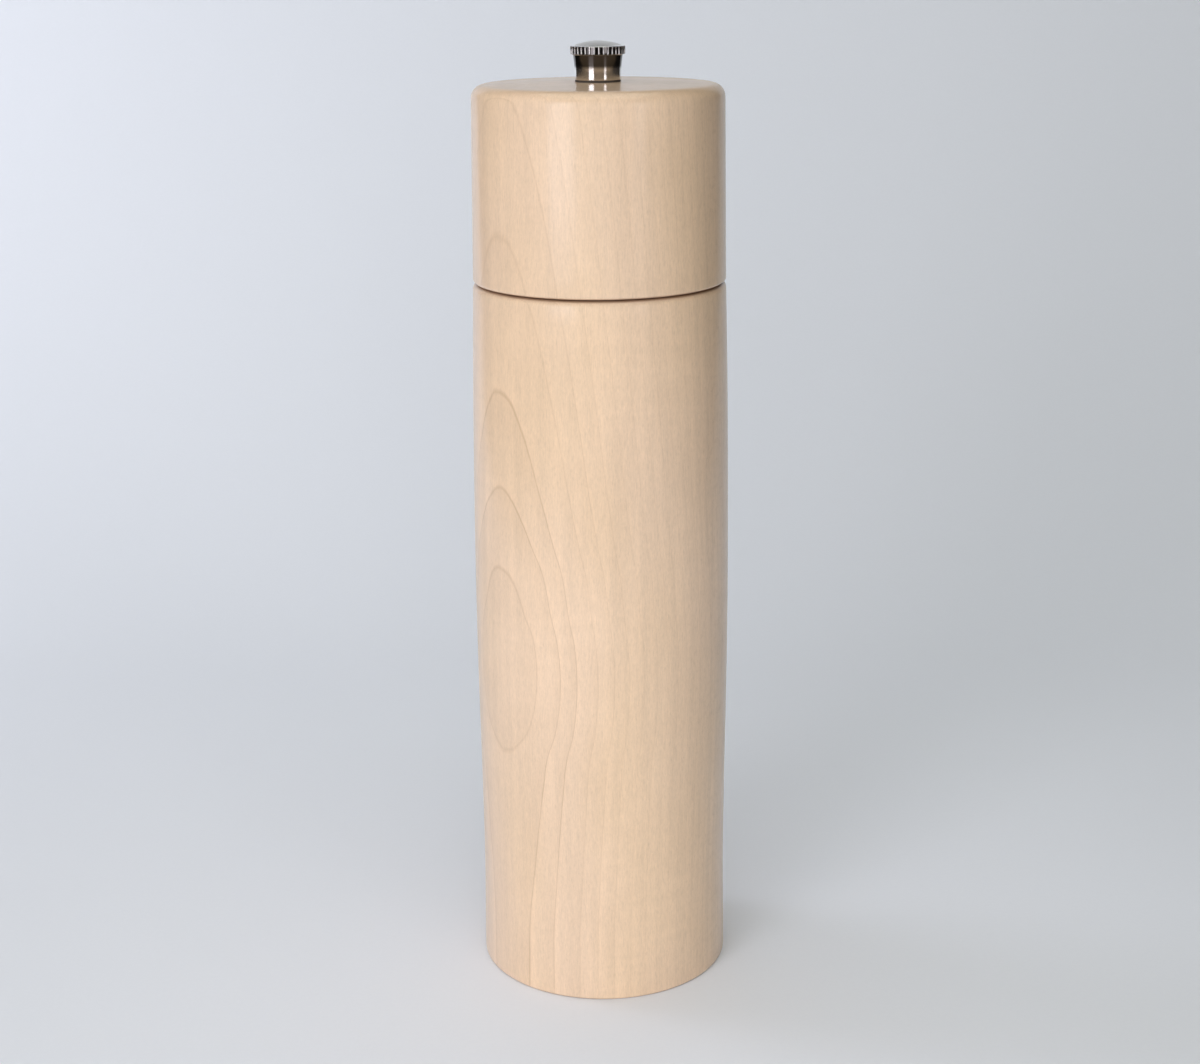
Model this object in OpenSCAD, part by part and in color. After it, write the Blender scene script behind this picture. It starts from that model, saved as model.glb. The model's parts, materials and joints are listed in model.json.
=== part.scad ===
// Wooden pepper mill with a toothed steel grinder in its base and a knurled adjusting nut on its head.
// Millimetres. The origin is the centre of the base, on the table, and +Z is up.
// The head, the square shaft and the rotor turn together. The nut lifts the shaft to set the grind.

/* [Wooden body] */
// Largest diameter of the mill, at its belly
mill_d = 68.2; // [56:0.2:90]
// Height of the body, from the table to its rim
body_h = 190; // [130:1:300]
// Height of the belly above the table
belly_z = 100; // [60:1:120]
// Height of the slight waist above the table
waist_z = 30; // [15:1:50]
// How much smaller the radius is at the waist than at the belly
waist_inset = 0.55; // [0:0.05:3]
// How much smaller the radius is at the foot than at the belly
foot_inset = 0.2; // [0:0.05:3]
// How much smaller the radius is at the seam than at the belly
seam_inset = 1.25; // [0:0.05:4]
// Rounding of the foot's edge
foot_edge_r = 0.8; // [0.4:0.1:2]
// Rounding of the rim's edge, at the seam
rim_edge_r = 1.6; // [0.4:0.1:3]
// Diameter of the bore that holds the peppercorns
chamber_d = 27; // [22:0.5:33]

/* [Wooden head] */
// Height of the head, from the seam to the middle of its top
head_h = 50.2; // [35:0.1:75]
// How much smaller the radius is at the top than at the belly
top_inset = 1.95; // [0:0.05:5]
// Rounding of the top's edge
top_edge_r = 3.2; // [1:0.1:6]
// Rounding of the head's lower edge, at the seam
skirt_edge_r = 0.9; // [0.3:0.1:2]
// How far the middle of the top stands above its edge
crown_rise = 0.5; // [0.1:0.1:2]
// Length of the tenon that turns in the body's bore
tenon_h = 12; // [8:0.5:20]
// Gap between head and body
seam_gap = 0.3; // [0.2:0.05:0.6]

/* [Shaft] */
// Side of the square shaft
shaft_w = 6; // [5:0.1:7.2]
// Diameter of the thread at the top of the shaft
thread_d = 5; // [4:0.1:6]
// Length of the thread
thread_l = 16; // [14:0.5:20]
// Pitch of the thread
thread_pitch = 0.8; // [0.7:0.05:1]
// Diameter of the round spigot below the rotor
spigot_d = 4; // [3.3:0.1:4.8]

/* [Adjusting nut] */
// Diameter of the nut's plain shank, just below its rim
shank_d = 12.6; // [11:0.1:15]
// Diameter of the nut's foot, on its washer
nut_foot_d = 11.7; // [10:0.1:14]
// Height of the plain shank
shank_h = 6.1; // [5:0.1:9]
// Diameter over the knurled rim
rim_d = 13.9; // [11.5:0.1:17]
// Height of the knurled rim
rim_h = 2.3; // [1.8:0.1:4]
// Height of the dome above the rim
dome_h = 1.2; // [0.8:0.1:2.5]
// Number of knurls
knurls = 36; // [24:1:48]
// Thickness of the washer under the nut
nut_washer_t = 0.5; // [0.3:0.1:1]

/* [Grinder] */
// Outer diameter of the stator ring
stator_d = 38; // [32:0.5:46]
// Height of the stator ring
stator_h = 16; // [14:0.5:20]
// Diameter of the rotor at its lower edge
rotor_d = 25; // [21:0.5:30]
// Height of the finely toothed zone
fine_h = 5; // [4:0.5:7]
// Gap between the rotor's and the stator's fine teeth at rest
grind_gap = 0.3; // [0.25:0.05:0.6]
// Number of fine teeth
fine_teeth = 40; // [24:1:48]
// Number of coarse teeth on the rotor
rotor_teeth = 8; // [6:1:10]
// Number of coarse grooves in the stator
stator_teeth = 12; // [8:1:16]
// Width of the land around the stator that takes the plate's screws
plate_land = 6; // [5.6:0.1:8]
// Thickness of the plate below the stator
plate_t = 1.2; // [1:0.1:2]
// Depth of the recess in the foot, from the table to the stator
recess_h = 8; // [7:0.5:12]

/* [Bridge and spring] */
// Width of the bridge's steel strip
bridge_w = 8; // [7:0.5:12]
// Thickness of the strip
bridge_t = 1.2; // [1:0.1:2]
// Length of the spring as fitted
spring_l = 10; // [7:0.5:14]
// Wire diameter of the spring
wire_d = 1; // [0.8:0.1:1.2]
// Number of turns of the spring
spring_turns = 5; // [4:1:7]

/* [Turnplate and screws] */
// Thickness of the turnplate on the tenon
turnplate_t = 1.6; // [1.2:0.1:2.5]
// Diameter of the screws' heads
screw_head_d = 4.8; // [4:0.1:5]
// Diameter of the screws' shanks
screw_d = 2.6; // [2:0.1:3]
// Length of the screws below their heads
screw_l = 10; // [8:0.5:11]

/* [Hidden] */
$fn = 96;

maple = [0.90, 0.77, 0.62];
steel = [0.62, 0.63, 0.65];
dark_steel = [0.36, 0.37, 0.39];
zinc = [0.74, 0.75, 0.76];
aluminium = [0.80, 0.81, 0.82];
chrome = [0.86, 0.87, 0.88];
brass = [0.80, 0.66, 0.36];
nylon = [0.90, 0.89, 0.84];
fibre = [0.16, 0.13, 0.12];

// Clearances
tenon_clear = 0.3;      // tenon in the chamber bore, on the radius
seat_clear = 0.1;       // bridge's feet in the stator's seats, on each side
leg_clear = 0.2;        // bridge's legs in the chamber bore, on the radius
stator_clear = 0.1;     // stator in its bore, on the radius
plate_clear = 0.3;      // plate in the recess, on the radius
hole_clear = 0.35;      // head and washers around the shaft's corners, on the radius
drive_clear = 0.1;      // square holes around the square shaft, on each side
run_clear = 0.06;       // bush around the shaft's corners, and nut around the thread, on the radius
grip_clear = 0.02;      // pieces that are pressed or screwed into each other, on the radius
thrust_clear = 0.1;     // between the thrust washer and the bush it turns against
overlap = 0.01;         // how far a cut runs past the face it opens

// Radii of the wood
belly_r = mill_d / 2;
foot_r = belly_r - foot_inset;
waist_r = belly_r - waist_inset;
seam_r = belly_r - seam_inset;
top_r = belly_r - top_inset;
chamber_r = chamber_d / 2;
tenon_r = chamber_r - tenon_clear;
nut_foot_r = nut_foot_d / 2;
crown_flat_r = nut_foot_r + 1;

// Shaft
corner_r = shaft_w * sqrt(2) / 2;
shaft_hole_r = corner_r + hole_clear;

// Heights, from the table up
stator_z = recess_h;
stator_top = stator_z + stator_h;
rotor_lift = 0.8;                                  // the rotor's lower edge above the stator's, at rest
rotor_z = stator_z + rotor_lift;
rotor_top = stator_top;
rotor_recess_h = 3;
rotor_seat_z = rotor_z + rotor_recess_h;           // the face that the rotor's washer bears on
thrust_z = rotor_top + spring_l;                   // the underside of the thrust washer
thrust_t = 0.8;
bush_flange_t = 0.8;
bush_z = thrust_z + thrust_t + thrust_clear;
strap_z = bush_z + bush_flange_t;
strap_top = strap_z + bridge_t;
head_z = body_h + seam_gap;
top_z = head_z + head_h;
edge_z = top_z - crown_rise;
tenon_z = head_z - tenon_h;
turnplate_z = tenon_z - turnplate_t;
nut_z = top_z + nut_washer_t;
nut_rim_z = nut_z + shank_h;
nut_rim_top = nut_rim_z + rim_h;
nut_top = nut_rim_top + dome_h;
nut_bore_h = shank_h + rim_h - 1;
shaft_top = nut_z + nut_bore_h - 1.2;
thread_z = shaft_top - thread_l;

// Grinder
stator_r = stator_d / 2;
rotor_r = rotor_d / 2;
fine_slope = 0.35;                                 // how much the fine zone widens for each millimetre down
fine_depth = 0.55;
groove_w = 2.6;
groove_depth = 1.2;
flute_w = 3.2;
flute_depth = 1.3;
fine_twist = 12;                                   // slant of the rotor's fine teeth
coarse_twist = 28;                                 // slant of the rotor's coarse teeth
step = 0.7;                                        // how far the coarse zone stands back from the fine teeth
rotor_fine_top_r = rotor_r - fine_slope * fine_h;
stator_foot_r = rotor_r + fine_slope * rotor_lift + grind_gap;
stator_fine_h = fine_h + rotor_lift;
stator_fine_top_r = stator_foot_r - fine_slope * stator_fine_h;
mouth_r = chamber_r - 0.5;
recess_r = stator_r + plate_land;
plate_r = recess_r - plate_clear;
plate_z = stator_z - plate_t;
plate_lip = 2;
plate_hole_r = stator_r - plate_lip;
plate_screw_r = (stator_r + plate_r) / 2;
plate_screw_count = 3;
key_w = 3;
key_h = 2;
key_t = 1;
key_r = plate_hole_r + 0.2;
key_clear = 0.2;
screw_head_h = 1.5;

// Bridge, spring and rotor top
leg_x = sqrt(pow(chamber_r - leg_clear, 2) - pow(bridge_w / 2, 2));
foot_x = stator_r - 0.4;
rivet_r = 0.9;
rivet_h = 5;
rivet_x = (max(leg_x, mouth_r) + foot_x) / 2;
bush_bore_r = corner_r + run_clear;
bush_r = bush_bore_r + 0.9;
flange_r = bush_r + 0.8;
eye_r = bush_r + 1.8;
coil_r = corner_r + 0.5 + wire_d / 2;
rotor_top_r = coil_r + wire_d / 2 + 0.5;

// Turnplate
turnplate_r = tenon_r - 0.8;
turnplate_screw_r = (corner_r + turnplate_r) / 2;
turnplate_screw_count = 3;

// Nut
shank_r = shank_d / 2;
thread_r = thread_d / 2;
nut_bore_r = thread_r + run_clear;
insert_r = nut_bore_r + 1.6;
insert_h = nut_bore_h - 1;
rim_r = rim_d / 2;
knurl_depth = 0.35;

function arc(x, z, r, from, to, n = 8) =
    [for (i = [0:n]) let (a = from + (to - from) * i / n) [x + r * cos(a), z + r * sin(a)]];

function ease(a, b, t) = a + (b - a) * (1 - cos(180 * t)) / 2;

// The body's radius at height z: foot, waist, belly, and a long even curve up to the seam
function body_r(z) =
    z < waist_z ? ease(foot_r, waist_r, z / waist_z)
    : z < belly_z ? ease(waist_r, belly_r, (z - waist_z) / (belly_z - waist_z))
    : belly_r - seam_inset * pow((z - belly_z) / (body_h - belly_z), 2);

function head_r(z) = seam_r + (top_r - seam_r) * (z - head_z) / head_h;

function crown_z(r) =
    top_z - crown_rise * pow(max(0, r - crown_flat_r) / (top_r - top_edge_r - crown_flat_r), 2);

// Copies its child evenly around the axis
module around(count, start = 0) {
    for (i = [0:count - 1]) rotate([0, 0, start + 360 * i / count]) children();
}

module square_bar(side, z, h) {
    translate([-side / 2, -side / 2, z]) cube([side, side, h]);
}

module disc(r, z, h) {
    translate([0, 0, z]) cylinder(r = r, h = h);
}

// A pan-head wood screw, head down, with its head's bearing face at z = 0
module wood_screw() {
    slot_w = 0.7;
    slot_l = screw_head_d * 0.6;
    head_r = screw_head_d / 2;
    difference() {
        union() {
            rotate_extrude() polygon(concat([[0, 0], [head_r, 0], [head_r, -screw_head_h * 0.4]],
                arc(head_r * 0.6, -screw_head_h * 0.5, head_r * 0.4, 0, -90, 5), [[0, -screw_head_h]]));
            cylinder(r = screw_d / 2, h = screw_l - screw_d);
            translate([0, 0, screw_l - screw_d]) cylinder(r1 = screw_d / 2, r2 = 0.2, h = screw_d);
        }
        for (a = [0, 90]) rotate([0, 0, a])
            translate([-slot_l / 2, -slot_w / 2, -screw_head_h - 1]) cube([slot_l, slot_w, 1.8]);
    }
}

// A round hole or pin off the axis, at radius r from it
module off_axis(r, pin_r, z, h) {
    translate([r, 0, z]) cylinder(r = pin_r, h = h, $fn = 32);
}

// The pilot holes that the screws sit in
module pilot_holes(count, r, z) {
    around(count) off_axis(r, screw_d / 2 + grip_clear, z - overlap, screw_l + 0.5);
}

module body_shell() {
    side_h = body_h - rim_edge_r - foot_edge_r;
    side = [for (i = [0:28]) let (z = foot_edge_r + side_h * i / 28) [body_r(z), z]];
    color(maple) difference() {
        rotate_extrude() polygon(concat(
            [[0, 0]],
            arc(foot_r - foot_edge_r, foot_edge_r, foot_edge_r, -90, -11.25, 7),
            side,
            arc(body_r(body_h - rim_edge_r) - rim_edge_r, body_h - rim_edge_r, rim_edge_r, 11.25, 90, 7),
            [[0, body_h]]));
        disc(recess_r, -1, recess_h + 1);
        disc(stator_r + stator_clear, recess_h - 1, stator_h + 1);
        disc(chamber_r, stator_z, body_h);
        pilot_holes(plate_screw_count, plate_screw_r, stator_z);
    }
}

module head_shell() {
    flat = top_r - top_edge_r;
    side_z = head_z + skirt_edge_r;
    side_h = edge_z - top_edge_r - side_z;
    color(maple) difference() {
        union() {
            rotate_extrude() polygon(concat(
                [[0, head_z]],
                arc(seam_r - skirt_edge_r, side_z, skirt_edge_r, -90, -11.25, 7),
                [for (i = [0:10]) let (z = side_z + side_h * i / 10) [head_r(z), z]],
                arc(head_r(side_z + side_h) - top_edge_r, side_z + side_h, top_edge_r, 9, 81, 8),
                [for (i = [0:8]) let (r = flat + (crown_flat_r - flat) * i / 8) [r, crown_z(r)]],
                [[0, top_z]]));
            disc(tenon_r, tenon_z, tenon_h + 1);
        }
        disc(shaft_hole_r, tenon_z - 1, top_z);
        pilot_holes(turnplate_screw_count, turnplate_screw_r, tenon_z);
    }
}

// Steel ring that holds the stator up in the foot, with two keys that stop the stator turning
module grinder_plate() {
    color(zinc) difference() {
        union() {
            disc(plate_r, plate_z, plate_t);
            around(2, 90) translate([key_r, -key_w / 2, plate_z]) cube([key_t, key_w, plate_t + key_h]);
        }
        disc(plate_hole_r, plate_z - 1, plate_t + 2);
        around(plate_screw_count) off_axis(plate_screw_r, screw_d / 2 + grip_clear, plate_z - 1, plate_t + 2);
    }
}

module plate_screws() {
    color(zinc) around(plate_screw_count) translate([plate_screw_r, 0, plate_z]) wood_screw();
}

// A V-shaped cut between two fine teeth
module tooth_cut(h) {
    translate([0, 0, -1]) linear_extrude(h) rotate(45) square(fine_depth, center = true);
}

// Outer burr: fine teeth below, coarse grooves above, notches for the plate's keys
// and seats for the bridge's feet
module stator() {
    fine_top_z = stator_z + stator_fine_h;
    fine_angle = atan(fine_slope);
    coarse_r = stator_fine_top_r + step;
    coarse_angle = atan((mouth_r - coarse_r) / (stator_top - fine_top_z));
    color(dark_steel) difference() {
        rotate_extrude() polygon([
            [stator_foot_r + fine_depth, stator_z], [stator_r, stator_z], [stator_r, stator_top],
            [mouth_r, stator_top], [coarse_r, fine_top_z], [stator_fine_top_r, fine_top_z],
            [stator_foot_r, stator_z + fine_depth]]);
        around(fine_teeth)
            translate([stator_foot_r, 0, stator_z]) rotate([0, -fine_angle, 0]) tooth_cut(stator_fine_h + 3);
        around(stator_teeth)
            translate([coarse_r, 0, fine_top_z - 1]) rotate([0, coarse_angle, 0])
                translate([-1, -groove_w / 2, 2.2]) cube([1 + groove_depth, groove_w, stator_h]);
        around(2, 90) translate([key_r - key_clear, -key_w / 2 - key_clear, stator_z - 1])
            cube([key_t + 2 * key_clear, key_w + 2 * key_clear, key_h + 1 + key_clear]);
        around(2) translate([mouth_r - 2, -bridge_w / 2 - seat_clear, stator_top - bridge_t])
            cube([foot_x + seat_clear - mouth_r + 2, bridge_w + 2 * seat_clear, bridge_t + 1]);
        around(2) off_axis(rivet_x, rivet_r + grip_clear, stator_top - rivet_h, rivet_h + 1);
    }
}

// Steel arch over the stator, with an eye for the bush, that centres the shaft and takes the spring's push
module bridge() {
    foot_z = stator_top - bridge_t;
    span_x = leg_x - bridge_t;
    color(zinc) difference() {
        union() {
            translate([0, bridge_w / 2, 0]) rotate([90, 0, 0]) linear_extrude(bridge_w) difference() {
                union() {
                    translate([-leg_x, foot_z]) square([2 * leg_x, strap_top - foot_z]);
                    translate([-foot_x, foot_z]) square([2 * foot_x, bridge_t]);
                }
                translate([-span_x, foot_z - 1]) square([2 * span_x, strap_z - foot_z + 1]);
            }
            disc(eye_r, strap_z, bridge_t);
        }
        disc(bush_r + grip_clear, strap_z - 1, bridge_t + 2);
        around(2) off_axis(rivet_x, rivet_r + grip_clear, foot_z - 1, bridge_t + 2);
    }
}

module bridge_rivets() {
    color(steel) around(2) off_axis(rivet_x, rivet_r, stator_top - rivet_h, rivet_h);
}

// Flanged bush in the bridge, with a round bore around the shaft's corners
module bridge_bush() {
    color(nylon) difference() {
        union() {
            disc(flange_r, bush_z, bush_flange_t);
            disc(bush_r, bush_z, bush_flange_t + bridge_t + 0.6);
        }
        disc(bush_bore_r, bush_z - 1, bridge_t + 5);
    }
}

// Washer keyed to the square shaft, between the spring and the bush
module thrust_washer() {
    color(steel) difference() {
        disc(coil_r + wire_d / 2 + 0.3, thrust_z, thrust_t);
        square_bar(shaft_w + 2 * drive_clear, thrust_z - 1, thrust_t + 2);
    }
}

// Compression spring whose end turns lie flat
module spring() {
    wire_r = wire_d / 2;
    sides = 10;
    rings = 24 * spring_turns;
    rise = spring_l - wire_d;
    function coil_z(t) = let (u = t * spring_turns, active = spring_turns - 1.5)
        wire_r + rise * min(1, max(0, (u - 0.75) / active));
    points = [for (i = [0:rings]) let (t = i / rings, a = 360 * spring_turns * t)
        for (j = [0:sides - 1]) let (b = 360 * j / sides, r = coil_r + wire_r * cos(b))
            [r * cos(a), r * sin(a), rotor_top + coil_z(t) + wire_r * sin(b)]];
    sleeve = [for (i = [0:rings - 1]) for (j = [0:sides - 1]) let (k = (j + 1) % sides)
        [i * sides + j, (i + 1) * sides + j, (i + 1) * sides + k, i * sides + k]];
    color(steel) polyhedron(points, concat(sleeve,
        [[for (j = [0:sides - 1]) j]], [[for (j = [sides - 1:-1:0]) rings * sides + j]]), convexity = 8);
}

// Square shaft with a thread at its top and a grooved spigot below the rotor
module shaft() {
    groove_z = rotor_seat_z - 1.5;
    spigot_z = groove_z - 1.1;
    root_r = thread_r - 0.6 * thread_pitch;
    turns = floor((thread_l - 1.2) / thread_pitch);
    function ridge(z) = [[thread_r, z + 0.4 * thread_pitch], [thread_r, z + 0.55 * thread_pitch],
                         [root_r, z + 0.95 * thread_pitch]];
    color(aluminium) union() {
        square_bar(shaft_w, rotor_seat_z, thread_z - rotor_seat_z);
        rotate_extrude() polygon(concat(
            [[0, thread_z - 1], [root_r, thread_z - 1], [root_r, thread_z + 0.6]],
            [for (i = [0:turns - 1]) each ridge(thread_z + 0.6 + i * thread_pitch)],
            [[root_r, shaft_top], [0, shaft_top]]));
        difference() {
            disc(spigot_d / 2, spigot_z, rotor_seat_z - spigot_z + 1);
            difference() {
                disc(spigot_d, groove_z, 0.7);
                disc(spigot_d / 2 - 0.5, groove_z - 1, 3);
            }
        }
    }
}

// Inner burr: slanting coarse teeth above, fine teeth below, and a recess under it for the washer and clip
module rotor() {
    fine_top_z = rotor_z + fine_h;
    cone_angle = atan((rotor_fine_top_r - step - rotor_top_r) / (rotor_top - fine_top_z));
    fine_angle = atan(fine_slope);
    color(dark_steel) difference() {
        rotate_extrude() polygon([
            [0, rotor_z], [rotor_r - fine_depth, rotor_z], [rotor_r, rotor_z + fine_depth],
            [rotor_fine_top_r, fine_top_z], [rotor_fine_top_r - step, fine_top_z],
            [rotor_top_r, rotor_top], [0, rotor_top]]);
        around(fine_teeth)
            translate([rotor_r, 0, rotor_z]) rotate([0, -fine_angle, 0]) rotate([fine_twist, 0, 0])
                tooth_cut(fine_h + 3);
        around(rotor_teeth)
            translate([rotor_fine_top_r - step, 0, fine_top_z]) rotate([0, -cone_angle, 0])
                rotate([coarse_twist, 0, 0]) translate([-flute_depth, -flute_w / 2, 0.3])
                    cube([flute_depth + 3, flute_w, rotor_top - fine_top_z + 6]);
        square_bar(shaft_w + 2 * grip_clear, rotor_z, rotor_top);
        disc(corner_r + 1.6, rotor_z - 1, rotor_recess_h + 1);
    }
}

module rotor_washer() {
    color(zinc) difference() {
        disc(corner_r + 1.2, rotor_seat_z - 0.8, 0.8);
        disc(spigot_d / 2 + run_clear, rotor_seat_z - 2, 3);
    }
}

// Snap-on clip in the spigot's groove
module rotor_clip() {
    clip_r = spigot_d / 2 + 1.4;
    core_r = spigot_d / 2 - 0.5 + grip_clear;
    color(steel) translate([0, 0, rotor_seat_z - 1.45]) linear_extrude(0.6) difference() {
        circle(clip_r);
        circle(core_r);
        translate([0, -core_r * 0.8]) square([2 * clip_r, 2 * core_r * 0.8]);
        for (a = [110, 250]) rotate(a) translate([core_r, -0.6]) square([0.6, 1.2]);
    }
}

// Steel disc under the tenon whose square hole turns the shaft
module turnplate() {
    color(zinc) difference() {
        disc(turnplate_r, turnplate_z, turnplate_t);
        square_bar(shaft_w + 2 * drive_clear, turnplate_z - 1, turnplate_t + 2);
        around(turnplate_screw_count)
            off_axis(turnplate_screw_r, screw_d / 2 + grip_clear, turnplate_z - 1, turnplate_t + 2);
    }
}

module turnplate_screws() {
    color(zinc) around(turnplate_screw_count) translate([turnplate_screw_r, 0, turnplate_z]) wood_screw();
}

module nut_washer() {
    color(fibre) difference() {
        disc(nut_foot_r - 0.1, top_z, nut_washer_t);
        disc(thread_r + 0.4, top_z - 1, nut_washer_t + 2);
    }
}

// Plated nut: slightly flared shank, knurled rim and shallow dome
module adjusting_nut() {
    neck_h = 0.3;
    root_r = rim_r - knurl_depth;
    core_r = root_r - 0.3;
    tooth = [[-0.36, root_r], [-0.2, rim_r], [0.2, rim_r], [0.36, root_r]];
    function flare_r(t) = nut_foot_r + (shank_r - nut_foot_r) * pow(t, 2);
    color(chrome) difference() {
        union() {
            rotate_extrude() polygon(concat(
                [[0, nut_z], [nut_foot_r - 0.2, nut_z], [nut_foot_r, nut_z + 0.2]],
                [for (i = [1:8]) [flare_r(i / 8), nut_z + shank_h * i / 8]],
                [[core_r, nut_rim_z + neck_h], [core_r, nut_rim_top]],
                [for (i = [1:8]) let (a = 90 * i / 8) [core_r * cos(a), nut_rim_top + dome_h * sin(a)]]));
            translate([0, 0, nut_rim_z + neck_h]) linear_extrude(rim_h - neck_h) polygon([
                for (i = [0:knurls - 1]) for (k = tooth)
                    let (a = 360 * (i + k[0]) / knurls) [k[1] * cos(a), k[1] * sin(a)]]);
        }
        disc(insert_r + grip_clear, nut_z - 1, insert_h + 1);
        disc(nut_bore_r, nut_z - 1, nut_bore_h + 1);
    }
}

// Threaded insert pressed into the nut
module nut_insert() {
    color(brass) difference() {
        disc(insert_r, nut_z, insert_h);
        disc(nut_bore_r, nut_z - 1, insert_h + 2);
    }
}

body_shell();
grinder_plate();
plate_screws();
stator();
bridge();
bridge_rivets();
bridge_bush();
thrust_washer();
spring();
shaft();
rotor();
rotor_washer();
rotor_clip();
head_shell();
turnplate();
turnplate_screws();
nut_washer();
adjusting_nut();
nut_insert();
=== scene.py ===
"""The looks of a turned maple pepper mill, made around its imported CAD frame.

Pieces, lights and the camera are in metres. The wood's and metal's patterns are worked out in mm."""

import json
import math

import bmesh
import bpy
from mathutils import Matrix, Vector


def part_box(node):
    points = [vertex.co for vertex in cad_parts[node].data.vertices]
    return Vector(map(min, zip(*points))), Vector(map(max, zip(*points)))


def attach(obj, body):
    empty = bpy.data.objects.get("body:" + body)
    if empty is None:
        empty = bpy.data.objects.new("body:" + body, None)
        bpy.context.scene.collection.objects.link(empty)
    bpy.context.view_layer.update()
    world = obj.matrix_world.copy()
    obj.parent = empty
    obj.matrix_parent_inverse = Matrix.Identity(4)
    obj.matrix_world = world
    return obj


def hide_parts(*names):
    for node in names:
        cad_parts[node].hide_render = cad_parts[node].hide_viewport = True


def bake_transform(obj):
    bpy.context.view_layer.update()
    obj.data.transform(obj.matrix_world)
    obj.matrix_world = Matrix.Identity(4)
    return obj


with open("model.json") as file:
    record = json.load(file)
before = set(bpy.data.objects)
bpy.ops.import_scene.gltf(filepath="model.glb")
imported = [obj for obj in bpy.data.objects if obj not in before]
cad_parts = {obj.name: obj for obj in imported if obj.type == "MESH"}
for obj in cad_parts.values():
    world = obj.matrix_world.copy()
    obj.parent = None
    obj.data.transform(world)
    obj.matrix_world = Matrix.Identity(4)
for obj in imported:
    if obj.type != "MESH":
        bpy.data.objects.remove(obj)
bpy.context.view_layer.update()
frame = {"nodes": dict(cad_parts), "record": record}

MM = 0.001
TO_MM = (1 / MM, 1 / MM, 1 / MM)
FULL_TURN = 2 * math.pi

# Sizes that the CAD frame gives
body_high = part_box("body_shell")[1]
head_low, head_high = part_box("head_shell")
plate_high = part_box("grinder_plate")[1]
stator_low, stator_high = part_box("stator")
shaft_low, shaft_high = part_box("shaft")
rotor_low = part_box("rotor")[0]
spring_low, spring_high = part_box("spring")
nut_low, nut_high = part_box("adjusting_nut")
insert_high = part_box("nut_insert")[1]

BELLY_R = body_high.x
BODY_H = body_high.z
TOP_Z = head_high.z
TENON_Z = head_low.z

# The turner's own sizes for the wood
WAIST_Z = 30 * MM
BELLY_Z = 100 * MM
FOOT_R = BELLY_R - 0.2 * MM
WAIST_R = BELLY_R - 0.55 * MM
SEAM_R = BELLY_R - 1.25 * MM
TOP_R = BELLY_R - 1.95 * MM
SEAM_GAP = 0.3 * MM
HEAD_Z = BODY_H + SEAM_GAP
CHAMBER_R = 13.5 * MM
TENON_R = CHAMBER_R - 0.3 * MM
CROWN_RISE = 0.5 * MM
TOP_EDGE = 3.2 * MM

# The nut
KNURLS = 36
KNURL_DEPTH = 0.35 * MM
NUT_FOOT_R = 5.85 * MM
SHANK_R = 6.3 * MM
SHANK_H = 6.1 * MM
RIM_H = 2.3 * MM
RIM_Z = nut_low.z + SHANK_H
RIM_TOP = RIM_Z + RIM_H
ROOT_R = nut_high.x - KNURL_DEPTH
CROWN_FLAT_R = NUT_FOOT_R + 1 * MM

# The square shaft and its thread
SHAFT_W = 6 * MM
THREAD_R = 2.5 * MM
THREAD_PITCH = 0.8 * MM
THREAD_L = 16 * MM


def ease(low, high, share):
    """Goes from low to high along half a cosine wave."""
    return low + (high - low) * (1 - math.cos(math.pi * share)) / 2


def body_radius(z):
    """The turned outline of the body: foot, waist, belly, then a long even curve to the seam."""
    if z < WAIST_Z:
        return ease(FOOT_R, WAIST_R, z / WAIST_Z)
    if z < BELLY_Z:
        return ease(WAIST_R, BELLY_R, (z - WAIST_Z) / (BELLY_Z - WAIST_Z))
    return BELLY_R - (BELLY_R - SEAM_R) * ((z - BELLY_Z) / (BODY_H - BELLY_Z)) ** 2


def head_radius(z):
    """The head's straight taper from the seam to the top."""
    return SEAM_R + (TOP_R - SEAM_R) * (z - HEAD_Z) / (TOP_Z - HEAD_Z)


# ---- Making pieces ----

def spin_outline(bm, outline, steps):
    """Spins an outline round the mill's axis. Its points are (radius, height), with a third
    value where a corner is rounded. It is closed, unless it starts and ends on the axis."""
    before = set(bm.verts)
    corners = [bm.verts.new((point[0], 0, point[1])) for point in outline]
    for here, there in zip(corners, corners[1:]):
        bm.edges.new((here, there))
    if outline[0][0] > 0:
        bm.edges.new((corners[-1], corners[0]))
    for corner, point in zip(corners, outline):
        if len(point) > 2:
            bmesh.ops.bevel(bm, geom=[corner], offset=point[2], offset_type="OFFSET", affect="VERTICES",
                            segments=8, profile=0.5, material=-1)
    wire = [v for v in bm.verts if v not in before]
    edges = list({e for v in wire for e in v.link_edges})
    bmesh.ops.spin(bm, geom=wire + edges, cent=(0, 0, 0), axis=(0, 0, 1), dvec=(0, 0, 0),
                   angle=FULL_TURN, steps=steps, use_merge=True, use_duplicate=False)
    made = [v for v in bm.verts if v not in before]
    bmesh.ops.remove_doubles(bm, verts=made, dist=MM / 1000)


def wind(bm, geom, turns, rise, steps_per_turn):
    """Sweeps an outline round the mill's axis while it rises, and returns it at its last place."""
    steps = round(turns * steps_per_turn)
    swept = bmesh.ops.spin(bm, geom=geom, cent=(0, 0, 0), axis=(0, 0, 1), dvec=(0, 0, rise / steps),
                           angle=FULL_TURN * turns, steps=steps, use_merge=False, use_duplicate=False)
    return swept["geom_last"]


def close_ends(bm):
    """Caps both open ends of a wire."""
    open_edges = [e for e in bm.edges if e.is_boundary]
    bmesh.ops.holes_fill(bm, edges=open_edges, sides=0)


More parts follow.
